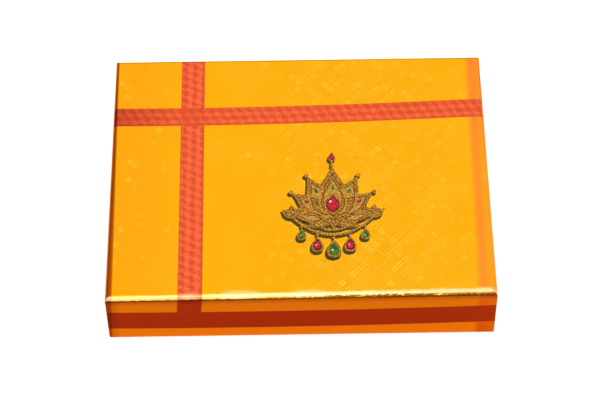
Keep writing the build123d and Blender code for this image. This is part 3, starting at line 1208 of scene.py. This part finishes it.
class Motif(Enum):
    """Shapes of the ornament: outline, width and length in mm, bend, points, and inks inwards."""

    PETAL = (petal_width, 14.0, 33.0, 0.0, 40, ("LINE 1", "GOLD .9", "LINE .66", "PALE .61"))
    INNER = (petal_width, 12.5, 27.0, 0.0, 40, ("LINE 1", "PALE .88", "LINE .68", "GOLD .61"))
    HEART = (petal_width, 15.0, 37.0, 0.0, 40, ("LINE 1", "GOLD .91", "LINE .78", "PALE .73"))
    STONE = (petal_width, 11.0, 17.5, 0.0, 40, ("LINE 1", "GOLD .92", "GARNET .76", "RUBY .62"))
    STUD = (round_width, 3.6, 5.6, 0.0, 20, ("LINE 1", "PALE .84", "GARNET .6", "RUBY .4"))
    GREEN_STUD = (round_width, 3.6, 5.6, 0.0, 20, ("LINE 1", "PALE .84", "LEAF .6"))
    VEIN = (petal_width, 1.1, 15.0, 0.0, 12, ("LINE 1",))
    SEPAL = (petal_width, 5.4, 11.0, 0.0, 24, ("LINE 1", "GOLD .84", "LINE .4", "PALE .28"))
    RIGHT_LEAF = (petal_width, 8.0, 27.0, 0.3, 40, ("LINE 1", "GOLD .86", "LINE .52", "PALE .44"))
    LEFT_LEAF = (petal_width, 8.0, 27.0, -0.3, 40, ("LINE 1", "GOLD .86", "LINE .52", "PALE .44"))
    RED_DROP = (drop_width, 6.4, 10.5, 0.0, 28, ("LINE 1", "GOLD .88", "GARNET .64", "RUBY .44"))
    GREEN_DROP = (drop_width, 6.0, 9.5, 0.0, 28, ("LINE 1", "GOLD .88", "LEAF .62"))
    BEAD = (round_width, 2.2, 2.2, 0.0, 14, ("LINE 1", "GOLD .78", "PALE .46"))
    SPARK = (round_width, 1.3, 1.0, 0.0, 12, ("GLINT 1",))


@dataclass
class Medallion:
    """Lotus over a swag of beads and drops, printed on the panel in thin layers of ink."""

    centre_x: float = 22 * MM
    centre_y: float = -28.5 * MM
    ink: float = 0.008 * MM
    layer: float = 0.01 * MM
    hair: float = 0.0003 * MM
    hairs: int = 31
    shadow_x: float = -0.9
    shadow_y: float = -1.9
    shadow_growth: float = 0.7
    root_y: float = -10.0
    stamps: dict[str, Piece] = field(default_factory=dict)
    laid: list[Piece] = field(default_factory=list)

    def build(self, lid: LidWrap) -> Piece:
        """Lays every motif and joins them into one print.

        Args:
            lid: The wrap whose panel carries it.

        Returns:
            The finished piece.
        """
        self.lotus()
        self.swag()
        deselect_all()
        for stamp in self.stamps.values():
            bpy.data.objects.remove(stamp)
        for piece in self.laid:
            piece.select_set(True)
        piece = self.laid[0]
        bpy.context.view_layer.objects.active = piece
        bpy.ops.object.join()
        piece.name = "printed_lotus_ornament"
        piece.location.x += self.centre_x
        piece.location.y += self.centre_y
        piece.location.z += lid.top + self.ink + self.layer
        bpy.ops.object.transform_apply(location=True, rotation=True, scale=True)
        thicken(piece, self.ink)
        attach(piece, "lid")
        return piece

    def lotus(self) -> None:
        """The flower, its stone, its crown of beads and its sepals."""
        level = 1
        for angle, scale in ((78, 0.9), (52, 1.04), (26, 1.18)):
            for side in (-1, 1):
                turn = side * angle
                self.lay(Motif.PETAL, *self.out(0, turn), turn, scale, level)
                self.lay(Motif.BEAD, *self.out(32.4 * scale, turn), turn, 1.35, 2)
                stud = Motif.STUD if angle == 52 else Motif.GREEN_STUD
                if angle < 78:
                    self.lay(stud, *self.out(19.0 * scale, turn), turn, 0.9, level + 1)
            level += 1
        for angle in (40, 15):
            for side in (-1, 1):
                turn = side * angle
                self.lay(Motif.INNER, *self.out(0, turn), turn, 1.0, level)
                self.lay(Motif.VEIN, *self.out(6.0, turn), turn, 0.9, level + 1)
            level += 1
        self.lay(Motif.PETAL, *self.out(3, 0), 0, 1.22, 3)
        self.lay(Motif.HEART, *self.out(-1, 0), 0, 1.0, 6)
        self.lay(Motif.STONE, *self.out(3, 0), 0, 1.0, 7)
        self.lay(Motif.SPARK, -1.4, self.root_y + 13, 20, 1.5, 8)
        self.lay(Motif.GREEN_STUD, *self.out(22.5, 0), 0, 0.9, 7)
        for step in range(3):
            self.lay(Motif.BEAD, 0, 32.5 + 2.0 * step, 0, 1.0 - 0.12 * step, 2)
        self.lay(Motif.RED_DROP, 0, 37.5, 0, 0.78, 2)
        for angle in (180, 150, 210):
            self.lay(Motif.SEPAL, *self.out(2, 0), angle, 1.0, 6)
        for side, leaf in ((1, Motif.LEFT_LEAF), (-1, Motif.RIGHT_LEAF)):
            self.lay(leaf, side * 2.5, self.root_y - 1, -side * 93, 1.0, 4)
            self.lay(leaf, side * 2.0, self.root_y - 3, -side * 118, 0.62, 5)

    def out(self, reach: float, turn: float) -> tuple[float, float]:
        """A place out along a petal, from the flower's root.

        Args:
            reach: How far out, in millimetres.
            turn: The petal's angle in degrees, anticlockwise from the back.

        Returns:
            Its place from the ornament's middle, in millimetres.
        """
        angle = math.radians(turn)
        return -reach * math.sin(angle), self.root_y + reach * math.cos(angle)

    def swag(self) -> None:
        """Two hanging strings of beads with drops on the longer one."""
        top = self.root_y
        for half, sag, lower, pitch, size in ((27.0, 15.0, 0.0, 2.2, 1.0), (18.0, 9.0, 1.5, 1.9, 0.8)):
            reach = -half
            while reach <= half + 0.01:
                y = top - lower - sag * (1 - (reach / half) ** 2)
                self.lay(Motif.BEAD, reach, y, 0, size, 3)
                slope = 2 * sag * reach / half**2
                reach += pitch / math.sqrt(1 + slope * slope)
        for x, motif, scale in (
            (-21.0, Motif.GREEN_DROP, 1.05),
            (-10.8, Motif.RED_DROP, 1.25),
            (0.0, Motif.GREEN_DROP, 1.6),
            (10.8, Motif.RED_DROP, 1.25),
            (21.0, Motif.GREEN_DROP, 1.05),
        ):
            y = top - 15 * (1 - (x / 27) ** 2)
            self.lay(Motif.BEAD, x, y - 2.0, 0, 0.8, 4)
            self.lay(motif, x, y - 2.2 - motif.value[2] * scale, 0, scale, 4)
            self.lay(Motif.SPARK, x - 0.6 * scale, y - 2.2 - 6 * scale, 0, 0.7 * scale, 5)
        for side in (-1, 1):
            for turn in (-38, 38, 0):
                self.lay(Motif.SEPAL, side * 25.5, top, turn - side * 12, 1.05, 5 if turn else 6)

    def lay(self, motif: Motif, x: float, y: float, turn: float, scale: float, level: int) -> None:
        """Lays one copy of a motif with its printed shadow, each in a plane of its own.

        Args:
            motif: Which shape.
            x: Its root, in millimetres from the ornament's middle.
            y: The same, towards the back.
            turn: Degrees, anticlockwise from pointing to the back.
            scale: Its size against the motif's own.
            level: Layer of ink that it lies on.
        """
        prints = [(self.stamp(motif, motif.value[5], 0.0), x, y, level)]
        if motif is not Motif.SPARK:
            cast = self.stamp(motif, ("SHADOW 1",), self.shadow_growth)
            prints.append((cast, x + self.shadow_x, y + self.shadow_y, 0))
        for stamp, right, back, layer in prints:
            made = stamp.copy()
            made.data = stamp.data.copy()
            bpy.context.scene.collection.objects.link(made)
            apart = len(self.laid) % self.hairs * self.hair
            made.location = (right * MM, back * MM, layer * self.layer + apart)
            made.rotation_euler.z = math.radians(turn)
            made.scale = (scale, scale, 1)
            self.laid.append(made)

    def stamp(self, motif: Motif, inks: tuple[str, ...], growth: float) -> Piece:
        """Shapes one motif, once, from a filled circle with rings of ink.

        Args:
            motif: Which shape.
            inks: Name of each ink and the share of the outline that it fills.
            growth: Millimetres that width and length gain.

        Returns:
            The stamp, root at the origin and pointing along +Y.
        """
        key = f"{motif.name} {growth}"
        if key in self.stamps:
            return self.stamps[key]
        outline, width, length, bend, points, _ = motif.value
        deselect_all()
        bpy.ops.mesh.primitive_circle_add(vertices=points, radius=0.5, fill_type="NGON")
        stamp = bpy.context.object
        for ink in Ink:
            stamp.data.materials.append(self.ink_material(ink))
        for vertex in stamp.data.vertices:
            t = min(max(vertex.co.y + 0.5, 0.0), 1.0)
            half = (width + growth) / 2 * outline(t)
            x = math.copysign(half, vertex.co.x) if half > 1e-4 else 0.0
            y = t * (length + growth) - growth / 2
            vertex.co = Vector(((x + bend * t * t * length) * MM, y * MM, 0))
        begin_edit(stamp)
        bpy.ops.mesh.select_all(action="SELECT")
        before = 1.0
        for entry in inks:
            name, share = entry.split()
            if float(share) < before:
                bpy.ops.mesh.extrude_region_move(TRANSFORM_OT_translate={"value": (0, 0, 0)})
                shrink = float(share) / before
                centre = (bend * 0.2 * length * MM, 0.45 * length * MM, 0)
                bpy.ops.transform.resize(value=(shrink, shrink, 1), center_override=centre)
                bpy.ops.mesh.select_more()
                bpy.ops.object.material_slot_assign()
                choose(stamp, "FACE", lambda face: len(face.verts) > 4)
                before = float(share)
            stamp.active_material_index = list(Ink).index(Ink[name])
            bpy.ops.object.material_slot_assign()
        end_edit()
        self.stamps[key] = stamp
        return stamp

    def ink_material(self, ink: Ink) -> Material:
        """Hands back an ink's material, made once."""
        return bpy.data.materials.get(ink.value.name) or ink.value.material()


@dataclass
class GreaseproofSheet:
    """The loose sheet in the tray, folded up its walls with its corners cut out."""

    paper: float = 0.09 * MM
    fold_radius: float = 1.6 * MM
    corner_cut: float = 3.0 * MM
    step: float = 3.0 * MM
    slack: float = 0.9 * MM
    ragged: float = 1.2 * MM

    def build(self, material: Material) -> Piece:
        """Makes the sheet.

        Args:
            material: Its finish.

        Returns:
            The finished piece.
        """
        low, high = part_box("greaseproof_liner")
        piece = open_box("greaseproof_sheet", tuple(low), tuple(high), 1, self.fold_radius, 4)
        cut = self.corner_cut
        cut_across(0, evenly(high.x, self.step) + [s * (high.x - cut) for s in (-1, 1)])
        cut_across(1, evenly(high.y, self.step) + [s * (high.y - cut) for s in (-1, 1)])
        cut_across(2, [low.z + self.step * i for i in range(1, int((high.z - low.z) / self.step))])

        def in_corner(face: bmesh.types.BMFace) -> bool:
            """Tells whether a face lies in a corner that is nicked out."""
            return all(abs(c) > far - cut for c, far in zip(face.calc_center_median().xy, high.xy))

        choose(piece, "FACE", in_corner)
        bpy.ops.mesh.delete(type="FACE")
        end_edit()
        for vertex in piece.data.vertices:
            vertex.co = self.slackened(vertex.co, low, high)
        piece.data.update()
        thicken(piece, self.paper)
        bpy.ops.object.shade_smooth_by_angle(angle=math.radians(50))
        dress(piece, material)
        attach(piece, "base")
        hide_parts("greaseproof_liner")
        return piece

    def slackened(self, place: Vector, low: Vector, high: Vector) -> Vector:
        """Lets the sheet stand off floor and walls in soft wrinkles.

        Args:
            place: A point of the neatly folded sheet.
            low: Lowest corner of the space it has.
            high: Highest corner of that space.

        Returns:
            The point where the loose sheet has it.
        """
        moved = place.copy()
        wrinkle = 0.5 + 0.5 * noise.noise(place / (16 * MM))
        up = smooth(place.z, low.z, low.z + 12 * MM)
        room = [high[axis] - abs(place[axis]) for axis in (0, 1)]
        floor = smooth(place.z, low.z + MM, low.z) * smooth(min(room), 2 * MM, 14 * MM)
        moved.z += floor * self.slack * wrinkle
        for axis in (0, 1):
            if room[axis] < self.fold_radius:
                moved[axis] -= math.copysign(up * self.slack * wrinkle, place[axis])
        edge = smooth(place.z, high.z - 2 * MM, high.z)
        moved.z -= edge * self.ragged * (0.5 + 0.5 * noise.noise(place / (30 * MM)))
        return moved


@dataclass
class Base:
    """The tray, with the plain foil round it and the loose sheet inside it."""

    foil: FoilSurface

    def dress(self) -> None:
        """Dresses the tray and makes the sheet."""
        dress(frame["nodes"]["base_wrap"], PlainFoilPaper().material(self.foil))
        dress_stocks(
            base_board=Stock.GREYBOARD,
            base_corner_stays=Stock.KRAFT_TAPE,
            base_lining=Stock.LINING,
            base_bottom_sheet=Stock.BOTTOM_CARD,
        )
        report(GreaseproofSheet().build(GreaseproofPaper().material()))


@dataclass
class Lid:
    """The lid, with its printed wrap and the ornament on it."""

    foil: FoilSurface

    def dress(self) -> None:
        """Dresses the lid, folds its wrap and prints it."""
        dress_stocks(
            lid_board=Stock.GREYBOARD, lid_corner_stays=Stock.KRAFT_TAPE, lid_lining=Stock.LINING
        )
        wrap = LidWrap()
        piece = wrap.build()
        dress(piece, PrintedFoilPaper(PrintLayout(), wrap).material(self.foil))
        report(piece)
        report(Medallion().build(wrap))


@dataclass
class Studio:
    """Pale floor, soft light and the camera, none of it part of the box."""

    camera_at: Span = (-0.557 * MM, -922.541 * MM, 1229.562 * MM)
    pitch: float = 52.809
    yaw: float = 0.0444
    roll: float = -0.8007
    lens: float = 134.026
    sensor: float = 36.0
    floor_colour: str = "#F4F4F4"
    floor_lift: float = 0.22
    floor_clear: float = 0.22
    lamp_power: float = 3.0
    lamp_size: Span = (1.6, 0.9)
    lamp_at: Span = (0.15, -0.55, 1.7)
    overhead: float = 2.1
    behind: float = 1.24
    left: float = 0.5
    right: float = 0.95
    horizon: float = -0.1
    low_lamp: float = 0.4
    high_lamp: float = -0.45
    front_dim: float = 0.36
    turn: Span = (0.43, 0.37)
    lamp_swing: Span = (-0.05, 0.09)
    front_low: Span = (-0.8, -0.45)
    past_middle: Span = (0.2, 0.35)
    dusk: Span = (0.15, 0.6, 0.4)
    leftmost: Span = (-0.8, -0.3)
    rightmost: Span = (0.85, 0.3)

    def build(self) -> None:
        """Sets floor, lamps, world, camera and view."""
        self.floor()
        self.lamps()
        self.world()
        self.camera()
        bpy.context.scene.view_settings.view_transform = "Standard"

    def floor(self) -> None:
        """A wide pale sheet, white to the camera where nothing shades it."""
        deselect_all()
        bpy.ops.mesh.primitive_plane_add(size=30, location=(0, 0, -0.02 * MM))
        floor = bpy.context.object
        floor.name = "studio_floor"
        g = Graph("pale studio floor")
        seen, mirrored, through = (
            g.add("LightPath", out=f"Is {kind} Ray") for kind in ("Camera", "Glossy", "Transmission")
        )
        plain = g.add("BsdfDiffuse", {"Color": self.floor_colour})
        level = g.add("Math", (seen, self.floor_clear, self.floor_lift), "MULTIPLY_ADD")
        lift = g.add("Emission", {"Color": (1.0, 1.0, 1.0, 1.0), "Strength": level})
        lifted = g.add("AddShader", (plain, lift))
        shown = seen
        for kind in (mirrored, through):
            shown = g.add("Math", (shown, kind), "MAXIMUM")
        dress(floor, g.finish(g.add("MixShader", (shown, plain, lifted))))

    def lamps(self) -> None:
        """A broad soft lamp over the front of the box."""
        data = bpy.data.lights.new("overhead softbox", "AREA")
        data.shape = "RECTANGLE"
        data.size, data.size_y = self.lamp_size
        data.energy = self.lamp_power
        lamp = bpy.data.objects.new("overhead_softbox", data)
        bpy.context.scene.collection.objects.link(lamp)
        lamp.location = self.lamp_at
        lamp.rotation_euler = lamp.location.to_track_quat("Z", "Y").to_euler()

    def world(self) -> None:
        """Soft light: bright over and before the box, even behind it, dim low down and left."""
        world = bpy.data.worlds.new("studio")
        bpy.context.scene.world = world
        world.use_nodes = True
        g = Graph(tree=world.node_tree, output="ShaderNodeOutputWorld")
        way = g.add("TexCoord", out="Generated")
        x, y, z = (g.add("SeparateXYZ", (way,), out=axis) for axis in "XYZ")
        aside = g.add("Math", (x,), "ABSOLUTE")
        aside = g.add("MapRange", (aside, *self.past_middle))
        forward = g.add("MapRange", (y, *self.turn), **EASED)
        above = g.add("MapRange", (z, self.horizon, self.horizon + 0.1), **EASED)
        reach = g.add("MapRange", (x, *self.lamp_swing, self.low_lamp, self.high_lamp), **EASED)
        frontal = g.add("Math", (y, reach), "ADD")
        frontal = g.add("MapRange", (frontal, *self.front_low, self.front_dim), **EASED)
        frontal = g.add("Math", (frontal, aside), "MAXIMUM")
        bright = forward
        for share in (above, frontal):
            bright = g.add("Math", (bright, share), "MULTIPLY")
        dusk = g.add("MapRange", (z, *self.dusk), **EASED)
        dusk = g.add("Math", (dusk, aside), "MAXIMUM")
        even = g.add("Math", (1.0, forward), "SUBTRACT")
        for share in (self.behind, dusk):
            even = g.add("Math", (even, share), "MULTIPLY")
        lamp = g.add("Mix", {0: aside, 2: self.overhead, 3: self.behind})
        level = g.add("Math", (bright, lamp, even), "MULTIPLY_ADD")
        for span, least in ((self.leftmost, self.left), (self.rightmost, self.right)):
            share = g.add("MapRange", (x, *span, least), **EASED)
            level = g.add("Math", (level, share), "MULTIPLY")
        seen = g.add("LightPath", out="Is Camera Ray")
        level = g.add("Mix", {0: seen, 2: level, 3: 1.0})
        g.finish(g.add("Background", {"Strength": level}))

    def camera(self) -> None:
        """Stands the camera where the photograph's outline puts it."""
        data = bpy.data.cameras.new("camera")
        data.sensor_width = self.sensor
        data.lens = self.lens
        data.clip_start, data.clip_end = 0.05, 60
        camera = bpy.data.objects.new("camera", data)
        bpy.context.scene.collection.objects.link(camera)
        turn = Matrix.Rotation(math.radians(-self.yaw), 4, "Z")
        turn @= Matrix.Rotation(math.radians(90 - self.pitch), 4, "X")
        turn @= Matrix.Rotation(math.radians(self.roll), 4, "Z")
        camera.matrix_world = Matrix.Translation(self.camera_at) @ turn
        bpy.context.scene.camera = camera


def main() -> None:
    """Builds base, lid and studio, and logs each made piece's count of faces."""
    logging.basicConfig(level=logging.INFO, format="%(message)s")
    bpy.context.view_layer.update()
    foil = FoilSurface()
    for body in (Base(foil), Lid(foil)):
        body.dress()
    Studio().build()
    deselect_all()


if __name__ == "__main__":
    main()
